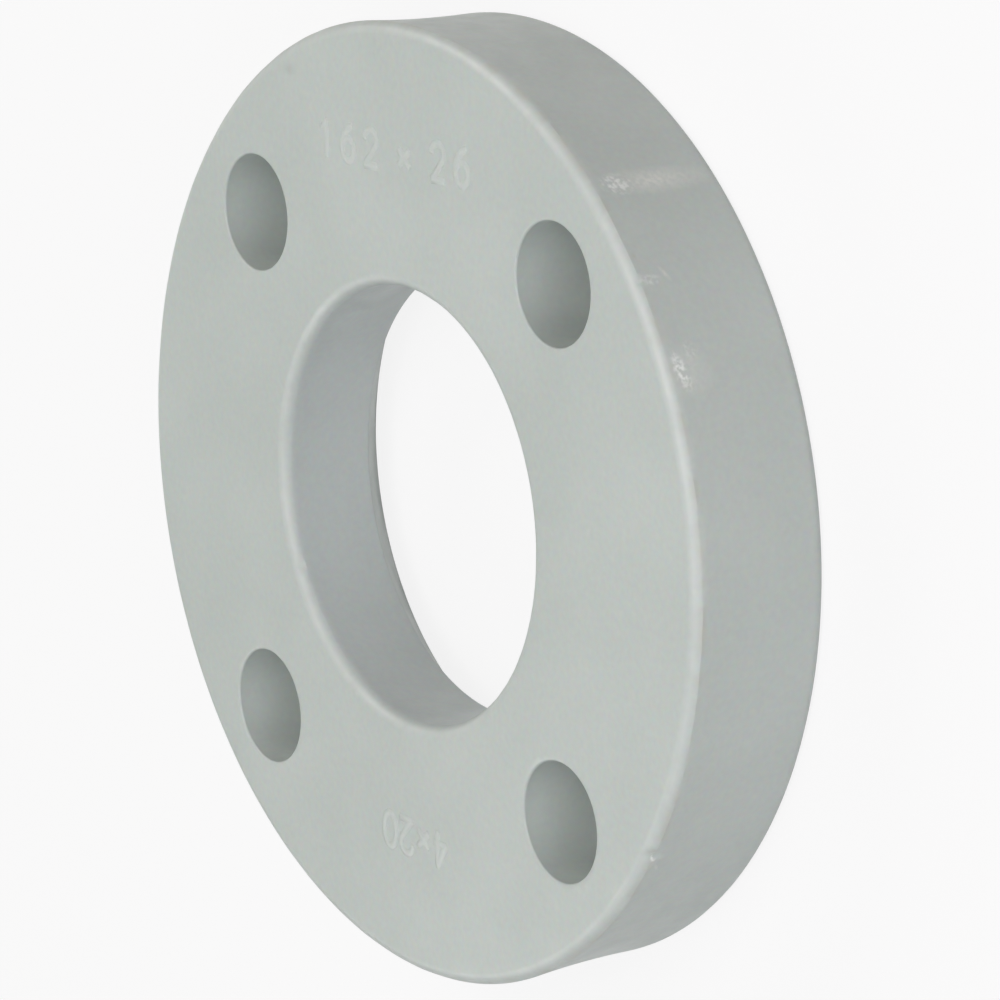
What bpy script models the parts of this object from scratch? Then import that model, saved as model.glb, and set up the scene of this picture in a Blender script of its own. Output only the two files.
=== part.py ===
# Loose pipe flange: a ring moulded in one piece from light grey plastic. It slips
# over a pipe and bolts up behind the collar on the pipe's end, which seats against
# its back face. Metres, +Z up. The ring lies on its back face, with the origin in
# the middle of that face and +Z along the bore, towards the front face.

import math

import bpy
from mathutils import Vector

OBJECT_NAME = "pipe_flange"
RING_NAME = "flange_ring"

# Bolt holes
BOLT_COUNT = 4
BOLT_CIRCLE_DIAMETER = 0.1250
BOLT_HOLE_DIAMETER = 0.0202
BOLT_EDGE_BREAK = 0.0004
FIRST_BOLT_ANGLE = math.radians(45.0)
CUTTER_REACH = 0.0030

# Ring, which keeps a land of plastic between each bolt hole and the outer wall
THICKNESS = 0.0260
RIM_LAND = 0.0086
OUTER_DIAMETER = BOLT_CIRCLE_DIAMETER + BOLT_HOLE_DIAMETER + 2.0 * RIM_LAND
OUTER_DRAFT = 0.0006
WALL_SINK = 0.0003
WALL_INSET = 0.0004
FRONT_RIM_REACH = 0.0022
FRONT_RIM_DROP = 0.0014
BACK_RIM_RADIUS = 0.0018

# Bore, with a wide chamfer at the back that clears the neck of the pipe's collar
BORE_DIAMETER = 0.0744
BORE_DRAFT = 0.0016
BORE_EDGE_REACH = 0.0022
BORE_EDGE_DROP = 0.00175
CHAMFER_WIDTH = 0.0088
CHAMFER_DEPTH = 0.0074
CHAMFER_EDGE_RADIUS = 0.0004

# Fineness of the round forms
RING_STEPS = 120
HOLE_STEPS = 40
RIM_STEPS = 5
CHAMFER_STEPS = 2
WALL_STEPS = 6
SMOOTH_ANGLE = math.radians(30.0)
MERGE_DISTANCE = 0.00001

# Material
PLASTIC_COLOUR = (0.48, 0.53, 0.50, 1.0)
PLASTIC_ROUGHNESS = 0.48


def clear_scene():
    """Remove what the open file holds, so that a second run starts clean."""
    for old_object in list(bpy.data.objects):
        bpy.data.objects.remove(old_object, do_unlink=True)


def new_collection(name):
    """Add a collection to the scene."""
    collection = bpy.data.collections.new(name)
    bpy.context.scene.collection.children.link(collection)
    return collection


def grey_plastic():
    """Light grey moulded plastic with a satin surface."""
    material = bpy.data.materials.new("grey_plastic")
    material.use_nodes = True
    shader = material.node_tree.nodes["Principled BSDF"]
    shader.inputs["Base Color"].default_value = PLASTIC_COLOUR
    shader.inputs["Roughness"].default_value = PLASTIC_ROUGHNESS
    shader.inputs["Metallic"].default_value = 0.0
    return material


def rounded_corner(before, corner, after, radius, steps):
    """Points of the arc that rounds a corner and runs smoothly into both its sides."""
    to_before = (before - corner).normalized()
    to_after = (after - corner).normalized()
    half_angle = to_before.angle(to_after) / 2.0
    centre = corner + (to_before + to_after).normalized() * radius / math.sin(half_angle)
    reach = radius / math.tan(half_angle)
    start = (corner + to_before * reach - centre).normalized()
    end = (corner + to_after * reach - centre).normalized()
    return [centre + start.slerp(end, step / steps) * radius for step in range(steps + 1)]


def eased_edge(wall_radius, outward, reach, drop, steps):
    """Arc from the front face to a wall: smooth at the face, a faint crease at the wall."""
    radius = (reach ** 2 + drop ** 2) / (2.0 * drop)
    turn = 2.0 * math.atan(drop / reach)
    points = []
    for step in range(steps + 1):
        angle = turn * step / steps
        inset = reach - radius * math.sin(angle)
        sunk = radius * (1.0 - math.cos(angle))
        points.append(Vector((wall_radius - outward * inset, THICKNESS - sunk)))
    return points


def outer_wall_points():
    """Points down the outer wall, which drafts in to the back and is sunk halfway."""
    top = THICKNESS - FRONT_RIM_DROP
    bottom = BACK_RIM_RADIUS + WALL_INSET
    points = []
    for step in range(WALL_STEPS + 1):
        share = step / WALL_STEPS
        height = top + (bottom - top) * share
        draft = OUTER_DRAFT * share
        sink = WALL_SINK * 4.0 * share * (1.0 - share)
        points.append(Vector((OUTER_DIAMETER / 2.0 - draft - sink, height)))
    return points


def ring_profile():
    """Closed section of the ring, as (radius, height) points, down the outer side."""
    bore_radius = BORE_DIAMETER / 2.0
    neck_radius = bore_radius + BORE_DRAFT
    back_opening = Vector((neck_radius + CHAMFER_WIDTH, 0.0))
    neck = Vector((neck_radius, CHAMFER_DEPTH))
    back_rim = Vector((OUTER_DIAMETER / 2.0 - OUTER_DRAFT, 0.0))
    wall = outer_wall_points()
    mouth_edge = eased_edge(bore_radius, -1.0, BORE_EDGE_REACH, BORE_EDGE_DROP, RIM_STEPS)
    rim_edge = eased_edge(OUTER_DIAMETER / 2.0, 1.0, FRONT_RIM_REACH, FRONT_RIM_DROP, RIM_STEPS)

    points = list(reversed(mouth_edge)) + rim_edge + wall[1:]
    points += rounded_corner(wall[-1], back_rim, back_opening, BACK_RIM_RADIUS, RIM_STEPS)
    points += rounded_corner(back_rim, back_opening, neck, CHAMFER_EDGE_RADIUS, CHAMFER_STEPS)
    points += rounded_corner(back_opening, neck, mouth_edge[-1], CHAMFER_EDGE_RADIUS, CHAMFER_STEPS)
    return points


def bolt_cutter_profile():
    """Half section of a bolt hole, open on the axis, with its edges broken at 45 degrees."""
    radius = BOLT_HOLE_DIAMETER / 2.0
    flare = radius + BOLT_EDGE_BREAK + CUTTER_REACH
    return [
        Vector((0.0, THICKNESS + CUTTER_REACH)),
        Vector((flare, THICKNESS + CUTTER_REACH)),
        Vector((radius, THICKNESS - BOLT_EDGE_BREAK)),
        Vector((radius, BOLT_EDGE_BREAK)),
        Vector((flare, -CUTTER_REACH)),
        Vector((0.0, -CUTTER_REACH)),
    ]


def turned_object(name, profile, closed, steps, collection):
    """Turn a profile in the XZ plane round the Z axis with a Screw modifier."""
    vertices = [(point.x, 0.0, point.y) for point in profile]
    edges = [(index, index + 1) for index in range(len(profile) - 1)]
    if closed:
        edges.append((len(profile) - 1, 0))
    mesh = bpy.data.meshes.new(name)
    mesh.from_pydata(vertices, edges, [])
    turned = bpy.data.objects.new(name, mesh)
    collection.objects.link(turned)
    screw = turned.modifiers.new("turn", "SCREW")
    screw.axis = "Z"
    screw.angle = math.tau
    screw.steps = steps
    screw.render_steps = steps
    screw.use_merge_vertices = True
    screw.merge_threshold = MERGE_DISTANCE
    return turned


def add_bolt_cutters(collection):
    """One cutter for each bolt hole, evenly spaced on the bolt circle."""
    profile = bolt_cutter_profile()
    for index in range(BOLT_COUNT):
        angle = FIRST_BOLT_ANGLE + math.tau * index / BOLT_COUNT
        cutter = turned_object(f"bolt_cutter_{index + 1}", profile, False, HOLE_STEPS, collection)
        cutter.location.x = BOLT_CIRCLE_DIAMETER / 2.0 * math.cos(angle)
        cutter.location.y = BOLT_CIRCLE_DIAMETER / 2.0 * math.sin(angle)
        cutter.rotation_euler.z = angle
        cutter.display_type = "WIRE"
        cutter.hide_render = True


def shade_round(turned):
    """Smooth shading with sharp edges where the section turns a hard corner."""
    turned.modifiers["turn"].use_smooth_shade = True
    turned.data.shade_smooth()
    turned.data.set_sharp_from_angle(angle=SMOOTH_ANGLE)


def build_ring(parts, cutters):
    """The flange itself: the turned ring with its bolt holes cut through."""
    ring = turned_object(RING_NAME, ring_profile(), True, RING_STEPS, parts)
    ring.data.materials.append(grey_plastic())
    shade_round(ring)
    drilling = ring.modifiers.new("bolt_holes", "BOOLEAN")
    drilling.operation = "DIFFERENCE"
    drilling.solver = "EXACT"
    drilling.operand_type = "COLLECTION"
    drilling.collection = cutters
    return ring


def main():
    clear_scene()
    parts = new_collection(OBJECT_NAME)
    cutters = new_collection("cutters")
    add_bolt_cutters(cutters)
    build_ring(parts, cutters)


main()
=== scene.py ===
import math

import bmesh
import bpy
import numpy as np
from mathutils import Matrix, Vector, noise


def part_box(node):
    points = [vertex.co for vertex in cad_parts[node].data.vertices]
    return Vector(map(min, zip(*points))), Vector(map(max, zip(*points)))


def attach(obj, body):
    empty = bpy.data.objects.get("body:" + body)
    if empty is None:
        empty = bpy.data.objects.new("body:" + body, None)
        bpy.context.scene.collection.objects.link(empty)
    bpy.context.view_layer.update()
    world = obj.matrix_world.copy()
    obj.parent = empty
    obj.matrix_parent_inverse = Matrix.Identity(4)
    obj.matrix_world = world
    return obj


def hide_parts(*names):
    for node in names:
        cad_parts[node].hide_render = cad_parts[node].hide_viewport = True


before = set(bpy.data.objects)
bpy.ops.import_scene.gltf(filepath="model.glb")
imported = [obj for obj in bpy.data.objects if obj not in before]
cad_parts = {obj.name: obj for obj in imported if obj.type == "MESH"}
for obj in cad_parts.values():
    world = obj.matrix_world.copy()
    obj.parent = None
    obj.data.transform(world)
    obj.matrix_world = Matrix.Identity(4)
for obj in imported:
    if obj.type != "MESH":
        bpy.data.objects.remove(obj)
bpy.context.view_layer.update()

# The frame's box gives the ring's place and overall size. Everything is in metres.
RING_NODE = "flange_ring"
RING_LOW, RING_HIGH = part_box(RING_NODE)
OUTER_RADIUS = RING_HIGH.x
FRONT_Z = RING_HIGH.z
BACK_Z = RING_LOW.z

# The ring's section, as the solid has it
OUTER_DRAFT = 0.0006
WALL_SINK = 0.0003
WALL_INSET = 0.0004
FRONT_RIM_REACH = 0.0022
FRONT_RIM_DROP = 0.0014
BACK_RIM_RADIUS = 0.0018
BORE_RADIUS = 0.0372
BORE_DRAFT = 0.0016
BORE_EDGE_REACH = 0.0022
BORE_EDGE_DROP = 0.00175
CHAMFER_WIDTH = 0.0088
CHAMFER_DEPTH = 0.0074
CHAMFER_EDGE_RADIUS = 0.0004
NECK_RADIUS = BORE_RADIUS + BORE_DRAFT
BACK_OPENING_RADIUS = NECK_RADIUS + CHAMFER_WIDTH

# Bolt holes
BOLT_COUNT = 4
BOLT_CIRCLE_RADIUS = 0.0625
BOLT_HOLE_RADIUS = 0.0101
BOLT_EDGE_RADIUS = 0.0004
FIRST_BOLT_ANGLE = math.radians(45.0)
CUTTER_REACH = 0.0030
HOLE_FLARE_ANGLE = math.radians(68.0)

# Fineness of the visible mesh
COLUMN_STEP = math.radians(1.0)
FINE_COLUMN_STEP = math.radians(0.25)
FACE_ROWS = 30
WALL_ROWS = 20
BACK_ROWS = 12
CHAMFER_ROWS = 8
ROUND_STEPS = 10
CHAMFER_EDGE_STEPS = 3
HOLE_STEPS = 96
HOLE_EDGE_STEPS = 6
SMOOTH_ANGLE = math.radians(32.0)
MERGE_DISTANCE = 0.00001

# Unevenness of the moulding. Trimmed edges: wave length and depth of each wave
WALL_WAVE_DEPTH = 0.00007
WALL_WAVE_LENGTH = 0.011
RIM_UNEVENNESS = ((0.0045, 0.00012), (0.0200, 0.00022))
MOUTH_UNEVENNESS = ((0.0020, 0.00030), (0.0065, 0.00032))
SEED_PER_DEPTH = 100.0

# Nicks in the front rim, or in the bore's mouth on the far side: azimuth, height,
# radius and depth
NICKS = (
    (math.radians(-33.2), 0.0246, 0.0013, 0.00055),
    (math.radians(-57.9), 0.0240, 0.0009, 0.00030),
    (math.radians(36.0), 0.0247, 0.0007, 0.00025),
    (math.radians(-153.8), 0.0254, 0.0010, 0.00030),
)
NICK_COLUMN_REACH = math.radians(1.8)

# Raised size marks on the front face: text, middle of its base line, turn and pitch
MARKS = (
    ("162 x 26", Vector((0.0006, 0.0568)), 0.0, 0.0069),
    ("4x20", Vector((0.0012, -0.0546)), math.pi, 0.0051),
)
MARK_HEIGHT = 0.0060
MARK_SPACE = 0.0030
MARK_STROKE_WIDTH = 0.0015
MARK_RELIEF = 0.00018
GLYPH_WIDTH = 0.68
GLYPH_MARGIN = 0.04
ARC_STEPS = 16
BOWL_STEPS = 24
OVAL_STEPS = 32
STROKE_ROUND_STEPS = 6
STROKE_END_SHARES = (0.35, 0.62, 0.80)
STROKE_MERGE_DISTANCE = 0.000001

# Camera: where its axis meets the front face, and its direction from there
AIM = Vector((0.02877, 0.00655, FRONT_Z))
CAMERA_AZIMUTH = math.radians(15.89)
CAMERA_ELEVATION = math.radians(33.53)
CAMERA_ROLL = math.radians(99.88)
CAMERA_DISTANCE = 0.7515
CAMERA_LENS = 167.16
SENSOR_WIDTH = 36.0

# Stage
FLOOR_SIZE = 8.0
FLOOR_COLOUR = (0.66, 0.66, 0.66, 1.0)
FLOOR_WHITE_SHARE = 0.86
AMBIENT_STRENGTH = 0.02
WHITE = (1.0, 1.0, 1.0, 1.0)

# Soft lamps: azimuth and elevation in degrees, side length, power and colour
LAMP_DISTANCE = 1.1
LAMPS = (
    ("right", 0.0, 40.0, 1.30, 4.45, (1.00, 0.95, 0.97)),
    ("right_upper", 70.0, 40.0, 0.55, 0.50, (1.00, 0.95, 0.99)),
    ("right_lower", 305.0, 40.0, 0.55, 0.50, (1.00, 0.95, 0.99)),
    ("right_high", 0.0, 60.0, 0.55, 2.52, (0.97, 0.96, 1.00)),
    ("right_low", 345.0, 20.0, 0.55, 2.20, (0.93, 0.95, 1.00)),
    ("top_right", 45.0, 60.0, 0.55, 3.85, (1.00, 0.94, 0.94)),
    ("top_left", 135.0, 35.0, 0.55, 3.70, (1.00, 0.96, 0.94)),
    ("left_low", 180.0, 16.0, 0.55, 0.82, (0.90, 1.00, 0.93)),
    ("left_down", 225.0, 35.0, 0.55, 3.10, (0.98, 1.00, 0.97)),
)

# Plastic: light grey, a little cloudy, satin; painted shade greys the outer wall and
# painted cool light makes the bore a touch lighter and bluer
PLASTIC_COLOUR = (0.480, 0.530, 0.500, 1.0)
CLOUD_DARK = (0.962, 0.966, 0.964, 1.0)
CLOUD_LIGHT = (1.030, 1.028, 1.030, 1.0)
# painted shade: the outer wall's colour is darkened and greyed
WALL_PAINTED_SHADE = (0.970, 0.967, 0.965, 1.0)
# painted cool light: the bore's colour is made a touch lighter and bluer
BORE_PAINTED_FILL = (1.025, 1.015, 1.045, 1.0)
# worn paler, partly a painted highlight on the rounded edges and raised marks
WORN_AND_SHEEN_COLOUR = (0.640, 0.680, 0.650, 1.0)
# colour of the painted highlight band and sheen on the outer wall, and of its pale scratches
RUB_AND_SHEEN_COLOUR = (0.660, 0.670, 0.620, 1.0)
GLINT_COLOUR = (0.800, 0.830, 0.800, 1.0)
STAIN_COLOUR = (0.440, 0.410, 0.330, 1.0)
DIRT_COLOUR = (0.210, 0.215, 0.205, 1.0)
ROUGHNESS_LOW = 0.38
ROUGHNESS_HIGH = 0.52
POLISH = -0.12
PLASTIC_IOR = 1.49

# Wave lengths of the plastic's patterns, with the shares of mottle and grain
CLOUD_LENGTH = 0.0300
RIPPLE_LENGTH = 0.0060
SATIN_LENGTH = 0.0045
PATCH_LENGTH = 0.0040
MOTTLE_LENGTH = 0.0011
SPECKLE_LENGTH = 0.0008
GRAIN_LENGTH = 0.00055
MOTTLE_SHARE = 0.085
GRAIN_SHARE = 0.18
BUMP_STRENGTH = 0.35
BUMP_DEPTH = 0.00012

# Parts of the noise that the ramps stretch, from where they start to where they end
NOISE_RANGE = (0.30, 0.70)
STAIN_RANGE = (0.55, 0.40)
RUB_AND_SHEEN_RANGE = (0.35, 0.65)
GLINT_RANGE = (0.42, 0.66)
WEAR_SHEEN_SHARES = (0.4, 1.0)
RUB_AND_SHEEN_SHARES = (0.5, 1.0)

# Where the painted shade on the outer wall and the painted cool light in the bore begin below the front
# face and beside it
TONE_TOP = 0.0010
TONE_FULL = 0.0018
WALL_SHADE_START = 0.0020
WALL_SHADE_FULL = 0.0014
BORE_FILL_START = 0.0006

# Worn and stained edges, the worn paling partly a painted highlight: how far from the edge's own circle,
# and how strongly
EDGE_WEAR_SHEEN_INSET = 0.0010
EDGE_WEAR_SHEEN_DROP = 0.0004
EDGE_WEAR_SHEEN_REACH = 0.0012
EDGE_WEAR_SHEEN_SHARE = 0.50
STAIN_REACH = 0.0011
STAIN_SHARE = 0.30
MARK_WEAR_SHEEN_SHARE = 0.30
MARK_WEAR_SHEEN_START = 0.00002

# Marks on the outer wall, mostly a painted highlight band, painted sheen and painted glints, with pale
# scratches and a stain speck: azimuth, height, half length, half height, lean and strength
# painted highlight band and painted sheen, with pale scratches
RUBS_AND_SHEEN = (
    (math.radians(48.8), 0.0125, 0.0030, 0.0116, 0.0, 0.85),
    (math.radians(25.0), 0.0210, 0.0050, 0.0048, 0.0, 0.40),
    (math.radians(36.6), 0.0194, 0.0019, 0.0006, math.radians(28.0), 0.60),
    (math.radians(-35.3), 0.0229, 0.0012, 0.0004, math.radians(35.0), 0.55),
)
# painted glints on the outer wall
PAINTED_GLINTS = (
    (math.radians(48.6), 0.0202, 0.0025, 0.0036, 0.0, 0.60),
    (math.radians(25.2), 0.0226, 0.0037, 0.0016, math.radians(12.0), 0.85),
    (math.radians(36.0), 0.0226, 0.0011, 0.0027, 0.0, 0.35),
    (math.radians(27.4), 0.0198, 0.0018, 0.0018, 0.0, 0.22),
    (math.radians(-33.4), 0.0243, 0.0013, 0.0007, 0.0, 0.80),
)
STAIN_SPECK = ((math.radians(39.1), 0.0238, 0.0007, 0.0006, 0.0, 0.45),)
MARK_DEPTH = 0.0030
SMUDGE_PLACE = Vector((-0.0320, 0.0703, FRONT_Z))
SMUDGE_HALF_SIZES = (0.0024, 0.0012, 0.0010)
SMUDGE_SHARE = 0.17
RUB_AND_SHEEN_SOFTNESS = 0.9
GLINT_SOFTNESS = 0.6
SPOT_SOFTNESS = 0.8


def smoothstep(value, low, high):
    """0 below low, 1 above high and a soft ramp between them, on arrays too."""
    share = np.clip((value - low) / (high - low), 0.0, 1.0)
    return share * share * (3.0 - 2.0 * share)


def rounded_corner(before, corner, after, radius, steps):
    """Points of the arc that rounds a corner and runs smoothly into both its sides."""
    to_before = (before - corner).normalized()
    to_after = (after - corner).normalized()
    half_angle = to_before.angle(to_after) / 2.0
    centre = corner + (to_before + to_after).normalized() * radius / math.sin(half_angle)
    reach = radius / math.tan(half_angle)
    start = (corner + to_before * reach - centre).normalized()
    end = (corner + to_after * reach - centre).normalized()
    return [centre + start.slerp(end, step / steps) * radius for step in range(steps + 1)]


def straight_run(start, end, count):
    """Points that split the line between two ends evenly, without the ends."""
    return [start.lerp(end, step / count) for step in range(1, count)]


def eased_edge(wall_radius, outward, reach, drop):
    """Arc from the front face to a wall: smooth at the face, a faint crease at the wall."""
    radius = (reach ** 2 + drop ** 2) / (2.0 * drop)
    turn = 2.0 * math.atan(drop / reach)
    points = []
    for step in range(ROUND_STEPS + 1):
        angle = turn * step / ROUND_STEPS
        inset = reach - radius * math.sin(angle)
        sunk = radius * (1.0 - math.cos(angle))
        points.append(Vector((wall_radius - outward * inset, FRONT_Z - sunk)))
    return points


def outer_wall_points(top):
    """Points down the outer wall, which drafts in to the back and is sunk halfway."""
    bottom = BACK_Z + BACK_RIM_RADIUS + WALL_INSET
    points = []
    for step in range(WALL_ROWS + 1):
        share = step / WALL_ROWS
        radius = OUTER_RADIUS - OUTER_DRAFT * share - WALL_SINK * 4.0 * share * (1.0 - share)
        points.append(Vector((radius, top + (bottom - top) * share)))
    return points


def ring_section(rim_drop, mouth_drop):
    """Closed section of the ring, as (radius, height) points, down the outer side."""
    back_opening = Vector((BACK_OPENING_RADIUS, BACK_Z))
    neck = Vector((NECK_RADIUS, BACK_Z + CHAMFER_DEPTH))
    back_rim = Vector((OUTER_RADIUS - OUTER_DRAFT, BACK_Z))
    wall = outer_wall_points(FRONT_Z - rim_drop)

    mouth_edge = eased_edge(BORE_RADIUS, -1.0, BORE_EDGE_REACH, mouth_drop)
    rim_edge = eased_edge(OUTER_RADIUS, 1.0, FRONT_RIM_REACH, rim_drop)
    back_edge = rounded_corner(wall[-1], back_rim, back_opening, BACK_RIM_RADIUS, ROUND_STEPS)
    opening_edge = rounded_corner(back_rim, back_opening, neck, CHAMFER_EDGE_RADIUS, CHAMFER_EDGE_STEPS)
    neck_edge = rounded_corner(back_opening, neck, mouth_edge[-1], CHAMFER_EDGE_RADIUS, CHAMFER_EDGE_STEPS)

    points = list(reversed(mouth_edge)) + straight_run(mouth_edge[0], rim_edge[0], FACE_ROWS)
    points += rim_edge + wall[1:] + back_edge
    points += straight_run(back_edge[-1], opening_edge[0], BACK_ROWS) + opening_edge
    points += straight_run(opening_edge[-1], neck_edge[0], CHAMFER_ROWS) + neck_edge
    points += straight_run(neck_edge[-1], mouth_edge[-1], WALL_ROWS)
    return points


def column_angles():
    """Angles of the mesh's columns: even, and closer together at the nicks."""
    angles = []
    angle = 0.0
    while angle < math.tau - FINE_COLUMN_STEP:
        angles.append(angle)
        gaps = [abs(math.remainder(angle - nick[0], math.tau)) for nick in NICKS]
        angle += FINE_COLUMN_STEP if min(gaps) < NICK_COLUMN_REACH else COLUMN_STEP
    return angles


def wander(angle, radius, wave_length, seed):
    """Smooth closed noise from -1 to 1 along a circle of the ring."""
    round_trip = Vector((math.cos(angle) * radius, math.sin(angle) * radius, seed))
    return noise.noise(round_trip / wave_length)


def trimmed_drop(drop, angle, radius, unevenness):
    """How far a trimmed edge's crease lies below the front face at one angle."""
    return drop + sum(
        depth * wander(angle, radius, wave_length, depth * SEED_PER_DEPTH)
        for wave_length, depth in unevenness
    )


def weathered(points):
    """Sink the walls by the moulding's waves and dent the nicks into the edges."""
    radius = np.hypot(points[:, 0], points[:, 1])
    outward = np.stack([points[:, 0] / radius, points[:, 1] / radius, np.zeros(len(points))], 1)
    side = np.sign(radius - (OUTER_RADIUS + BORE_RADIUS) / 2.0)

    wave = np.array([noise.noise(Vector(point) / WALL_WAVE_LENGTH) for point in points])
    on_wall = smoothstep(radius, OUTER_RADIUS - FRONT_RIM_REACH, OUTER_RADIUS - OUTER_DRAFT)
    in_bore = 1.0 - smoothstep(radius, NECK_RADIUS, NECK_RADIUS + OUTER_DRAFT)
    depth = WALL_WAVE_DEPTH * (0.5 + 0.5 * wave) * (on_wall + in_bore)
    moved = points - outward * (side * depth)[:, None]

    for azimuth, nick_height, reach, nick_depth in NICKS:
        nick_radius = OUTER_RADIUS if abs(azimuth) < math.pi / 2.0 else BORE_RADIUS
        way_out = Vector((math.cos(azimuth), math.sin(azimuth), 0.0))
        place = np.array(way_out * nick_radius) + np.array((0.0, 0.0, nick_height))
        gap = np.linalg.norm(points - place, axis=1)
        dent = nick_depth * np.exp(-((gap / reach) ** 2))
        moved -= outward * (side * dent)[:, None]
        moved[:, 2] -= dent
    return moved


def new_object(name, mesh):
    """Link a new object to the scene."""
    made = bpy.data.objects.new(name, mesh)
    bpy.context.scene.collection.objects.link(made)
    return made


def ring_grid():
    """Mesh of the turned ring before drilling: one column of quads for each angle."""
    angles = column_angles()
    columns = []
    for angle in angles:
        rim_drop = trimmed_drop(FRONT_RIM_DROP, angle, OUTER_RADIUS, RIM_UNEVENNESS)
        mouth_drop = trimmed_drop(BORE_EDGE_DROP, angle, BORE_RADIUS, MOUTH_UNEVENNESS)
        section = ring_section(rim_drop, mouth_drop)
        radius = np.array([point.x for point in section])
        height = np.array([point.y for point in section])
        columns.append(np.stack([radius * math.cos(angle), radius * math.sin(angle), height], 1))
    rows = len(columns[0])
    points = weathered(np.concatenate(columns))
    faces = []
    for column in range(len(angles)):
        here = column * rows
        there = (column + 1) % len(angles) * rows
        for row in range(rows):
            below = (row + 1) % rows
            faces.append((here + row, here + below, there + below, there + row))
    mesh = bpy.data.meshes.new("ring_grid")
    mesh.from_pydata(points.tolist(), [], faces)
    return mesh


def bolt_cutter(index):
    """Turned cutter for one bolt hole, whose flared ends round the hole's edges."""
    edge = BOLT_EDGE_RADIUS
    profile = [Vector((0.0, FRONT_Z + CUTTER_REACH))]
    arc = []
    for step in range(HOLE_EDGE_STEPS + 1):
        angle = HOLE_FLARE_ANGLE * (1.0 - step / HOLE_EDGE_STEPS)
        out = BOLT_HOLE_RADIUS + edge * (1.0 - math.cos(angle))
        down = edge * (1.0 - math.sin(angle))
        arc.append((out, down))
    lift = CUTTER_REACH + arc[0][1]
    flare = arc[0][0] + lift * math.tan(HOLE_FLARE_ANGLE)
    profile.append(Vector((flare, FRONT_Z + CUTTER_REACH)))
    profile += [Vector((out, FRONT_Z - down)) for out, down in arc]
    profile += [Vector((out, BACK_Z + down)) for out, down in reversed(arc)]
    profile.append(Vector((flare, BACK_Z - CUTTER_REACH)))
    profile.append(Vector((0.0, BACK_Z - CUTTER_REACH)))

    mesh = bpy.data.meshes.new("bolt_cutter")
    edges = [(step, step + 1) for step in range(len(profile) - 1)]
    mesh.from_pydata([(point.x, 0.0, point.y) for point in profile], edges, [])
    cutter = new_object(f"bolt_cutter_{index}", mesh)
    angle = FIRST_BOLT_ANGLE + math.tau * index / BOLT_COUNT
    cutter.location = (BOLT_CIRCLE_RADIUS * math.cos(angle), BOLT_CIRCLE_RADIUS * math.sin(angle), 0.0)
    screw = cutter.modifiers.new("turn", "SCREW")
    screw.axis = "Z"
    screw.steps = HOLE_STEPS
    screw.render_steps = HOLE_STEPS
    screw.use_merge_vertices = True
    screw.merge_threshold = MERGE_DISTANCE
    return cutter


def arc_points(centre, radius_x, radius_y, start, end, count=ARC_STEPS):
    """Points along part of an ellipse, between two angles in degrees."""
    points = []
    for step in range(count + 1):
        angle = math.radians(start + (end - start) * step / count)
        points.append((centre[0] + radius_x * math.cos(angle), centre[1] + radius_y * math.sin(angle)))
    return points


def glyph_strokes(character):
    """Centre lines of one character, in a box 1 high and GLYPH_WIDTH wide."""
    left = GLYPH_MARGIN
    right = GLYPH_WIDTH - GLYPH_MARGIN
    middle = GLYPH_WIDTH / 2.0
    half = middle - left
    if character == "0":
        return [arc_points((middle, 0.5), half, 0.5, 0.0, 360.0, OVAL_STEPS)]
    if character == "1":
        return [[(middle - 0.16, 0.80), (middle + 0.06, 1.0)], [(middle + 0.06, 1.0), (middle + 0.06, 0.0)]]
    if character == "2":
        hook = arc_points((middle, 0.72), half, 0.28, 175.0, -35.0)
        return [hook, [hook[-1], (left, 0.0)], [(left, 0.0), (right, 0.0)]]
    if character == "4":
        return [
            [(right - 0.16, 1.0), (left, 0.34)],
            [(left, 0.34), (right, 0.34)],
            [(right - 0.16, 1.0), (right - 0.16, 0.0)],
        ]
    if character == "6":
        bowl = arc_points((middle, 0.30), half, 0.30, 0.0, 360.0, BOWL_STEPS)
        stem = arc_points((right, 0.34), right - left, 0.66, 180.0, 98.0)
        return [bowl, stem]
    if character == "x":
        return [[(left + 0.05, 0.18), (right - 0.05, 0.62)], [(left + 0.05, 0.62), (right - 0.05, 0.18)]]
    return []


def stroke_object(name, points, closed):
    """A raised stroke: the low cap of a wide tube sunk in the face, with round ends."""
    tube = (MARK_STROKE_WIDTH ** 2 / 4.0 + MARK_RELIEF ** 2) / (2.0 * MARK_RELIEF)
    axis_z = FRONT_Z + MARK_RELIEF - tube
    path = [(Vector((point[0], point[1], axis_z)), 1.0) for point in points]
    if not closed:
        start, end = path[0][0], path[-1][0]
        back = (start - path[1][0]).normalized()
        ahead = (end - path[-2][0]).normalized()
        for share in STROKE_END_SHARES:
            radius = math.sqrt(1.0 - share * share)
            path.insert(0, (start + back * share * MARK_STROKE_WIDTH / 2.0, radius))
            path.append((end + ahead * share * MARK_STROKE_WIDTH / 2.0, radius))
    curve = bpy.data.curves.new(name, "CURVE")
    curve.dimensions = "3D"
    curve.bevel_depth = tube
    curve.bevel_resolution = STROKE_ROUND_STEPS
    curve.use_fill_caps = True
    curve.twist_mode = "Z_UP"
    spline = curve.splines.new("POLY")
    spline.points.add(len(path) - 1)
    spline.use_cyclic_u = closed
    for target, (place, radius) in zip(spline.points, path):
        target.co = (place.x, place.y, place.z, 1.0)
        target.radius = radius
    source = new_object(name + "_line", curve)
    evaluated = source.evaluated_get(bpy.context.evaluated_depsgraph_get())
    mesh = bpy.data.meshes.new_from_object(evaluated)
    bpy.data.objects.remove(source, do_unlink=True)
    cleaner = bmesh.new()
    cleaner.from_mesh(mesh)
    bmesh.ops.remove_doubles(cleaner, verts=cleaner.verts, dist=STROKE_MERGE_DISTANCE)
    bmesh.ops.recalc_face_normals(cleaner, faces=cleaner.faces)
    cleaner.to_mesh(mesh)
    cleaner.free()
    return new_object(name, mesh)


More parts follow.
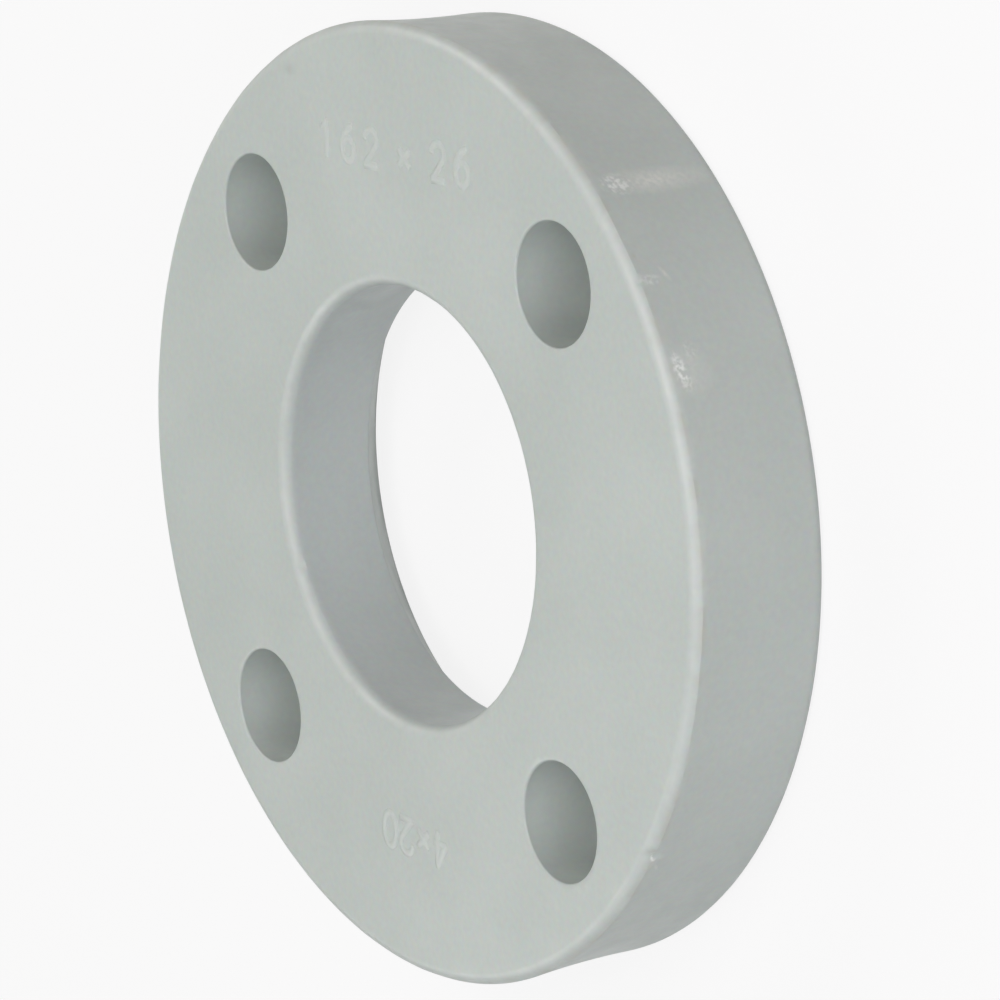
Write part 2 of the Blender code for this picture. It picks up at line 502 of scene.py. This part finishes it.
def mark_strokes():
    """Strokes of all the raised marks, one object each."""
    strokes = []
    for text, middle, turn, pitch in MARKS:
        widths = [MARK_SPACE if character == " " else pitch for character in text]
        along = -sum(widths) / 2.0
        rotation = Matrix.Rotation(turn, 2)
        for character, width in zip(text, widths):
            for line in glyph_strokes(character):
                closed = math.dist(line[0], line[-1]) < STROKE_MERGE_DISTANCE
                scaled = [Vector((along + x * MARK_HEIGHT, y * MARK_HEIGHT)) for x, y in line]
                placed = [middle + rotation @ point for point in scaled]
                if closed:
                    placed.pop()
                strokes.append(stroke_object(f"stroke_{len(strokes)}", placed, closed))
            along += width
    return strokes


def boolean(target, operation, others):
    """Cut or join a group of objects in one Boolean modifier."""
    group = bpy.data.collections.new(f"{target.name}_{operation.lower()}")
    for other in others:
        group.objects.link(other)
    modifier = target.modifiers.new(operation.lower(), "BOOLEAN")
    modifier.operation = operation
    modifier.solver = "EXACT"
    modifier.operand_type = "COLLECTION"
    modifier.collection = group
    return group


def build_ring():
    """The finished ring: turned, drilled, marked and shaded."""
    blank = new_object("ring_blank", ring_grid())
    cutters = [bolt_cutter(index) for index in range(BOLT_COUNT)]
    strokes = mark_strokes()
    groups = [boolean(blank, "DIFFERENCE", cutters), boolean(blank, "UNION", strokes)]
    evaluated = blank.evaluated_get(bpy.context.evaluated_depsgraph_get())
    mesh = bpy.data.meshes.new_from_object(evaluated)
    mesh.name = "ring_moulding"
    for used in [blank] + cutters + strokes:
        bpy.data.objects.remove(used, do_unlink=True)
    for group in groups:
        bpy.data.collections.remove(group)
    mesh.shade_smooth()
    mesh.set_sharp_from_angle(angle=SMOOTH_ANGLE)
    return new_object("ring_moulding", mesh)


def add_node(tree, kind, inputs, output=0):
    """Add a node, link or set its inputs by name or number, and give back one output."""
    node = tree.nodes.new(kind)
    for socket, value in inputs.items():
        if isinstance(value, bpy.types.NodeSocket):
            tree.links.new(value, node.inputs[socket])
        else:
            node.inputs[socket].default_value = value
    return node.outputs[output]


def add_math(tree, operation, first, second):
    """One Math node."""
    result = add_node(tree, "ShaderNodeMath", {0: first, 1: second})
    result.node.operation = operation
    return result


def add_length(tree, vector):
    """Length of a vector."""
    node = tree.nodes.new("ShaderNodeVectorMath")
    node.operation = "LENGTH"
    tree.links.new(vector, node.inputs[0])
    return node.outputs["Value"]


def add_ramp(tree, value, low, high, start=0.0, end=1.0):
    """A clamped ramp from start to end while the value runs from low to high."""
    return add_node(tree, "ShaderNodeMapRange", {
        "Value": value, "From Min": low, "From Max": high, "To Min": start, "To Max": end,
    })


def add_noise(tree, place, wave_length, detail=2.0, output="Fac"):
    """Noise whose lumps have the given wave length in metres."""
    return add_node(tree, "ShaderNodeTexNoise", {
        "Vector": place, "Scale": 1.0 / wave_length, "Detail": detail,
    }, output)


def add_mix(tree, share, first, second, blend="MIX"):
    """One colour mix."""
    node = tree.nodes.new("ShaderNodeMix")
    node.data_type = "RGBA"
    node.blend_type = blend
    for socket, value in (("Factor_Float", share), ("A_Color", first), ("B_Color", second)):
        target = next(entry for entry in node.inputs if entry.identifier == socket)
        if isinstance(value, bpy.types.NodeSocket):
            tree.links.new(value, target)
        else:
            target.default_value = value
    return next(entry for entry in node.outputs if entry.identifier == "Result_Color")


def add_patch(tree, place, middle, turn, half_sizes, soft):
    """1 inside an ellipsoid and 0 outside it, with an edge as soft as asked."""
    node = tree.nodes.new("ShaderNodeMapping")
    node.vector_type = "TEXTURE"
    tree.links.new(place, node.inputs["Vector"])
    node.inputs["Location"].default_value = middle
    node.inputs["Rotation"].default_value = turn
    node.inputs["Scale"].default_value = half_sizes
    length = add_length(tree, node.outputs["Vector"])
    return add_ramp(tree, length, 1.0, 1.0 - soft)


def add_wall_marks(tree, place, marks, soft):
    """The strongest of some patches on the outer wall."""
    radius = OUTER_RADIUS - WALL_SINK
    strongest = None
    for azimuth, height, half_length, half_height, lean, strength in marks:
        middle = Vector((radius * math.cos(azimuth), radius * math.sin(azimuth), height))
        half_sizes = (MARK_DEPTH, half_length, half_height)
        patch = add_patch(tree, place, middle, (lean, 0.0, azimuth), half_sizes, soft)
        patch = add_math(tree, "MULTIPLY", patch, strength)
        strongest = add_math(tree, "MAXIMUM", strongest, patch) if strongest else patch
    return strongest


def add_circle_gap(tree, from_axis, height, radius, level):
    """Distance from a circle about the ring's axis."""
    across = add_math(tree, "SUBTRACT", from_axis, radius)
    above = add_math(tree, "SUBTRACT", height, level)
    across_squared = add_math(tree, "MULTIPLY", across, across)
    above_squared = add_math(tree, "MULTIPLY", above, above)
    return add_math(tree, "SQRT", add_math(tree, "ADD", across_squared, above_squared), 0.0)


def moulded_plastic():
    """Light grey satin plastic with clouds, grain, worn edges and a few small marks, with painted
    highlights, painted glints, painted shade and painted cool light.
    """
    material = bpy.data.materials.new("moulded_plastic")
    material.use_nodes = True
    tree = material.node_tree
    shader = tree.nodes["Principled BSDF"]
    place = tree.nodes.new("ShaderNodeTexCoord").outputs["Object"]
    split = tree.nodes.new("ShaderNodeSeparateXYZ")
    tree.links.new(place, split.inputs[0])
    height = split.outputs["Z"]
    level = add_node(tree, "ShaderNodeCombineXYZ", {"X": split.outputs["X"], "Y": split.outputs["Y"]})
    from_axis = add_length(tree, level)

    # Clouds in the colour, and a fine mottle
    clouds = add_noise(tree, place, CLOUD_LENGTH, 2.0)
    mottle = add_noise(tree, place, MOTTLE_LENGTH, 1.0, "Color")
    cloud_colour = add_mix(tree, add_ramp(tree, clouds, *NOISE_RANGE), CLOUD_DARK, CLOUD_LIGHT)
    colour = add_mix(tree, 1.0, PLASTIC_COLOUR, cloud_colour, "MULTIPLY")
    colour = add_mix(tree, MOTTLE_SHARE, colour, mottle, "OVERLAY")
    # Painted shade: the outer wall below the rim is darkened and greyed
    below_rim = add_ramp(tree, height, FRONT_Z - TONE_TOP, FRONT_Z - TONE_FULL)
    outside = add_ramp(
        tree, from_axis, OUTER_RADIUS - WALL_SHADE_START, OUTER_RADIUS - WALL_SHADE_FULL)
    shaded_wall = add_math(tree, "MULTIPLY", below_rim, outside)
    colour = add_mix(tree, shaded_wall, colour, add_mix(tree, 1.0, colour, WALL_PAINTED_SHADE, "MULTIPLY"))
    # Painted cool light: the bore below the rim is made a touch lighter and bluer
    inside = add_ramp(tree, from_axis, NECK_RADIUS + BORE_FILL_START, NECK_RADIUS)
    bore_fill = add_math(tree, "MULTIPLY", below_rim, inside)
    colour = add_mix(tree, bore_fill, colour, add_mix(tree, 1.0, colour, BORE_PAINTED_FILL, "MULTIPLY"))

    # Front rim and bore mouth rubbed paler, partly a painted highlight along their rounded edges, with a
    # faint stain along the rim's crease
    rim_gap = add_circle_gap(
        tree, from_axis, height, OUTER_RADIUS - EDGE_WEAR_SHEEN_INSET, FRONT_Z - EDGE_WEAR_SHEEN_DROP)
    mouth_gap = add_circle_gap(
        tree, from_axis, height, BORE_RADIUS + EDGE_WEAR_SHEEN_INSET, FRONT_Z - EDGE_WEAR_SHEEN_DROP)
    crease_gap = add_circle_gap(tree, from_axis, height, OUTER_RADIUS, FRONT_Z - FRONT_RIM_DROP)
    patches = add_noise(tree, place, PATCH_LENGTH, 1.0)
    wear_and_sheen = add_ramp(tree, add_math(tree, "MINIMUM", rim_gap, mouth_gap), EDGE_WEAR_SHEEN_REACH, 0.0)
    wear_and_sheen = add_math(tree, "MULTIPLY", wear_and_sheen, add_ramp(tree, patches, *NOISE_RANGE, *WEAR_SHEEN_SHARES))
    stain = add_ramp(tree, crease_gap, STAIN_REACH, 0.0)
    stain = add_math(tree, "MULTIPLY", stain, add_ramp(tree, patches, *STAIN_RANGE))
    stain = add_math(tree, "MULTIPLY", stain, STAIN_SHARE)
    stain = add_math(tree, "MAXIMUM", stain, add_wall_marks(tree, place, STAIN_SPECK, SPOT_SOFTNESS))
    colour = add_mix(tree, add_math(tree, "MULTIPLY", wear_and_sheen, EDGE_WEAR_SHEEN_SHARE), colour, WORN_AND_SHEEN_COLOUR)
    colour = add_mix(tree, stain, colour, STAIN_COLOUR)

    # Raised marks a little paler than the face, worn and partly a painted highlight, and one smudge beside
    # them
    raised = add_ramp(
        tree, height, FRONT_Z + MARK_WEAR_SHEEN_START, FRONT_Z + MARK_RELIEF, 0.0, MARK_WEAR_SHEEN_SHARE)
    colour = add_mix(tree, raised, colour, WORN_AND_SHEEN_COLOUR)
    smudge = add_patch(tree, place, SMUDGE_PLACE, (0.0, 0.0, 0.0), SMUDGE_HALF_SIZES, SPOT_SOFTNESS)
    colour = add_mix(tree, add_math(tree, "MULTIPLY", smudge, SMUDGE_SHARE), colour, DIRT_COLOUR)

    # Painted highlight band, painted sheen and painted glints on the outer wall, with pale scratches
    speckle = add_noise(tree, place, SPECKLE_LENGTH, 1.0)
    rubs_and_sheen = add_wall_marks(tree, place, RUBS_AND_SHEEN, RUB_AND_SHEEN_SOFTNESS)
    rubs_and_sheen = add_math(tree, "MULTIPLY", rubs_and_sheen, add_ramp(tree, speckle, *RUB_AND_SHEEN_RANGE, *RUB_AND_SHEEN_SHARES))
    glints = add_wall_marks(tree, place, PAINTED_GLINTS, GLINT_SOFTNESS)
    glints = add_math(tree, "MULTIPLY", glints, add_ramp(tree, speckle, *GLINT_RANGE))
    colour = add_mix(tree, rubs_and_sheen, colour, RUB_AND_SHEEN_COLOUR)
    colour = add_mix(tree, glints, colour, GLINT_COLOUR)
    tree.links.new(colour, shader.inputs["Base Color"])

    # Satin that varies, smoother under the painted highlights, painted glints and scratches
    satin = add_noise(tree, place, SATIN_LENGTH, 2.0)
    roughness = add_ramp(tree, satin, *NOISE_RANGE, ROUGHNESS_LOW, ROUGHNESS_HIGH)
    polished = add_math(tree, "MULTIPLY", add_math(tree, "MAXIMUM", glints, rubs_and_sheen), POLISH)
    tree.links.new(add_math(tree, "ADD", roughness, polished), shader.inputs["Roughness"])

    # Fine grain over slow ripples
    grain = add_noise(tree, place, GRAIN_LENGTH, 1.0)
    ripple = add_noise(tree, place, RIPPLE_LENGTH, 0.0)
    relief = add_math(tree, "ADD", add_math(tree, "MULTIPLY", grain, GRAIN_SHARE), ripple)
    bump = add_node(tree, "ShaderNodeBump", {
        "Height": relief, "Strength": BUMP_STRENGTH, "Distance": BUMP_DEPTH,
    })
    tree.links.new(bump, shader.inputs["Normal"])

    shader.inputs["IOR"].default_value = PLASTIC_IOR
    return material


def floor_material():
    """Pale floor that keeps the ring's shadow and is nearly white to the camera."""
    material = bpy.data.materials.new("floor_white")
    material.use_nodes = True
    tree = material.node_tree
    tree.nodes.clear()
    output = tree.nodes.new("ShaderNodeOutputMaterial")
    path = tree.nodes.new("ShaderNodeLightPath")
    seen = add_math(tree, "MAXIMUM", path.outputs["Is Camera Ray"], path.outputs["Is Glossy Ray"])
    share = add_math(tree, "MULTIPLY", seen, FLOOR_WHITE_SHARE)
    diffuse = add_node(tree, "ShaderNodeBsdfDiffuse", {"Color": FLOOR_COLOUR})
    white = add_node(tree, "ShaderNodeEmission", {"Color": WHITE, "Strength": 1.0})
    mixed = add_node(tree, "ShaderNodeMixShader", {"Fac": share, 1: diffuse, 2: white})
    tree.links.new(mixed, output.inputs["Surface"])
    return material


def build_floor():
    """The plain pale floor under the ring."""
    half = FLOOR_SIZE / 2.0
    corners = [(-half, -half, BACK_Z), (half, -half, BACK_Z), (half, half, BACK_Z), (-half, half, BACK_Z)]
    mesh = bpy.data.meshes.new("floor")
    mesh.from_pydata(corners, [], [(0, 1, 2, 3)])
    floor = new_object("floor", mesh)
    floor.data.materials.append(floor_material())
    return floor


def area_light(name, azimuth, elevation, size, power, colour):
    """A soft square lamp that faces the ring from one direction."""
    light = bpy.data.lights.new(name, "AREA")
    light.shape = "SQUARE"
    light.size = size
    light.energy = power
    light.color = colour
    lamp = new_object(name, light)
    target = Vector((0.0, 0.0, FRONT_Z))
    level = LAMP_DISTANCE * math.cos(elevation)
    lamp.location = target + Vector((
        level * math.cos(azimuth),
        level * math.sin(azimuth),
        LAMP_DISTANCE * math.sin(elevation),
    ))
    lamp.rotation_euler = (target - lamp.location).to_track_quat("-Z", "Y").to_euler()
    return lamp


def light_stage():
    """Faint light from all round and soft lamps that lean to the camera's side."""
    world = bpy.data.worlds.new("studio")
    bpy.context.scene.world = world
    world.use_nodes = True
    background = world.node_tree.nodes["Background"]
    background.inputs["Color"].default_value = WHITE
    path = world.node_tree.nodes.new("ShaderNodeLightPath")
    strength = add_ramp(world.node_tree, path.outputs["Is Camera Ray"], 0.0, 1.0, AMBIENT_STRENGTH, 1.0)
    world.node_tree.links.new(strength, background.inputs["Strength"])
    for name, azimuth, elevation, size, power, colour in LAMPS:
        area_light(name, math.radians(azimuth), math.radians(elevation), size, power, colour)


def place_camera():
    """Camera at the photograph's viewing angle, rolled as the photograph is."""
    back = Vector((
        math.cos(CAMERA_ELEVATION) * math.cos(CAMERA_AZIMUTH),
        math.cos(CAMERA_ELEVATION) * math.sin(CAMERA_AZIMUTH),
        math.sin(CAMERA_ELEVATION),
    ))
    level = Vector((0.0, 0.0, 1.0)).cross(back).normalized()
    upright = back.cross(level)
    up = upright * math.cos(CAMERA_ROLL) + level * math.sin(CAMERA_ROLL)
    right = up.cross(back)
    camera_data = bpy.data.cameras.new("camera")
    camera_data.lens = CAMERA_LENS
    camera_data.sensor_width = SENSOR_WIDTH
    camera = new_object("camera", camera_data)
    rotation = Matrix((right, up, back)).transposed().to_4x4()
    camera.matrix_world = Matrix.Translation(AIM + back * CAMERA_DISTANCE) @ rotation
    bpy.context.scene.camera = camera
    return camera


place_camera()
ring = build_ring()
ring.data.materials.clear()
ring.data.materials.append(moulded_plastic())
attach(ring, "root")
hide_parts(RING_NODE)
build_floor()
light_stage()
bpy.context.scene.view_settings.view_transform = "Standard"
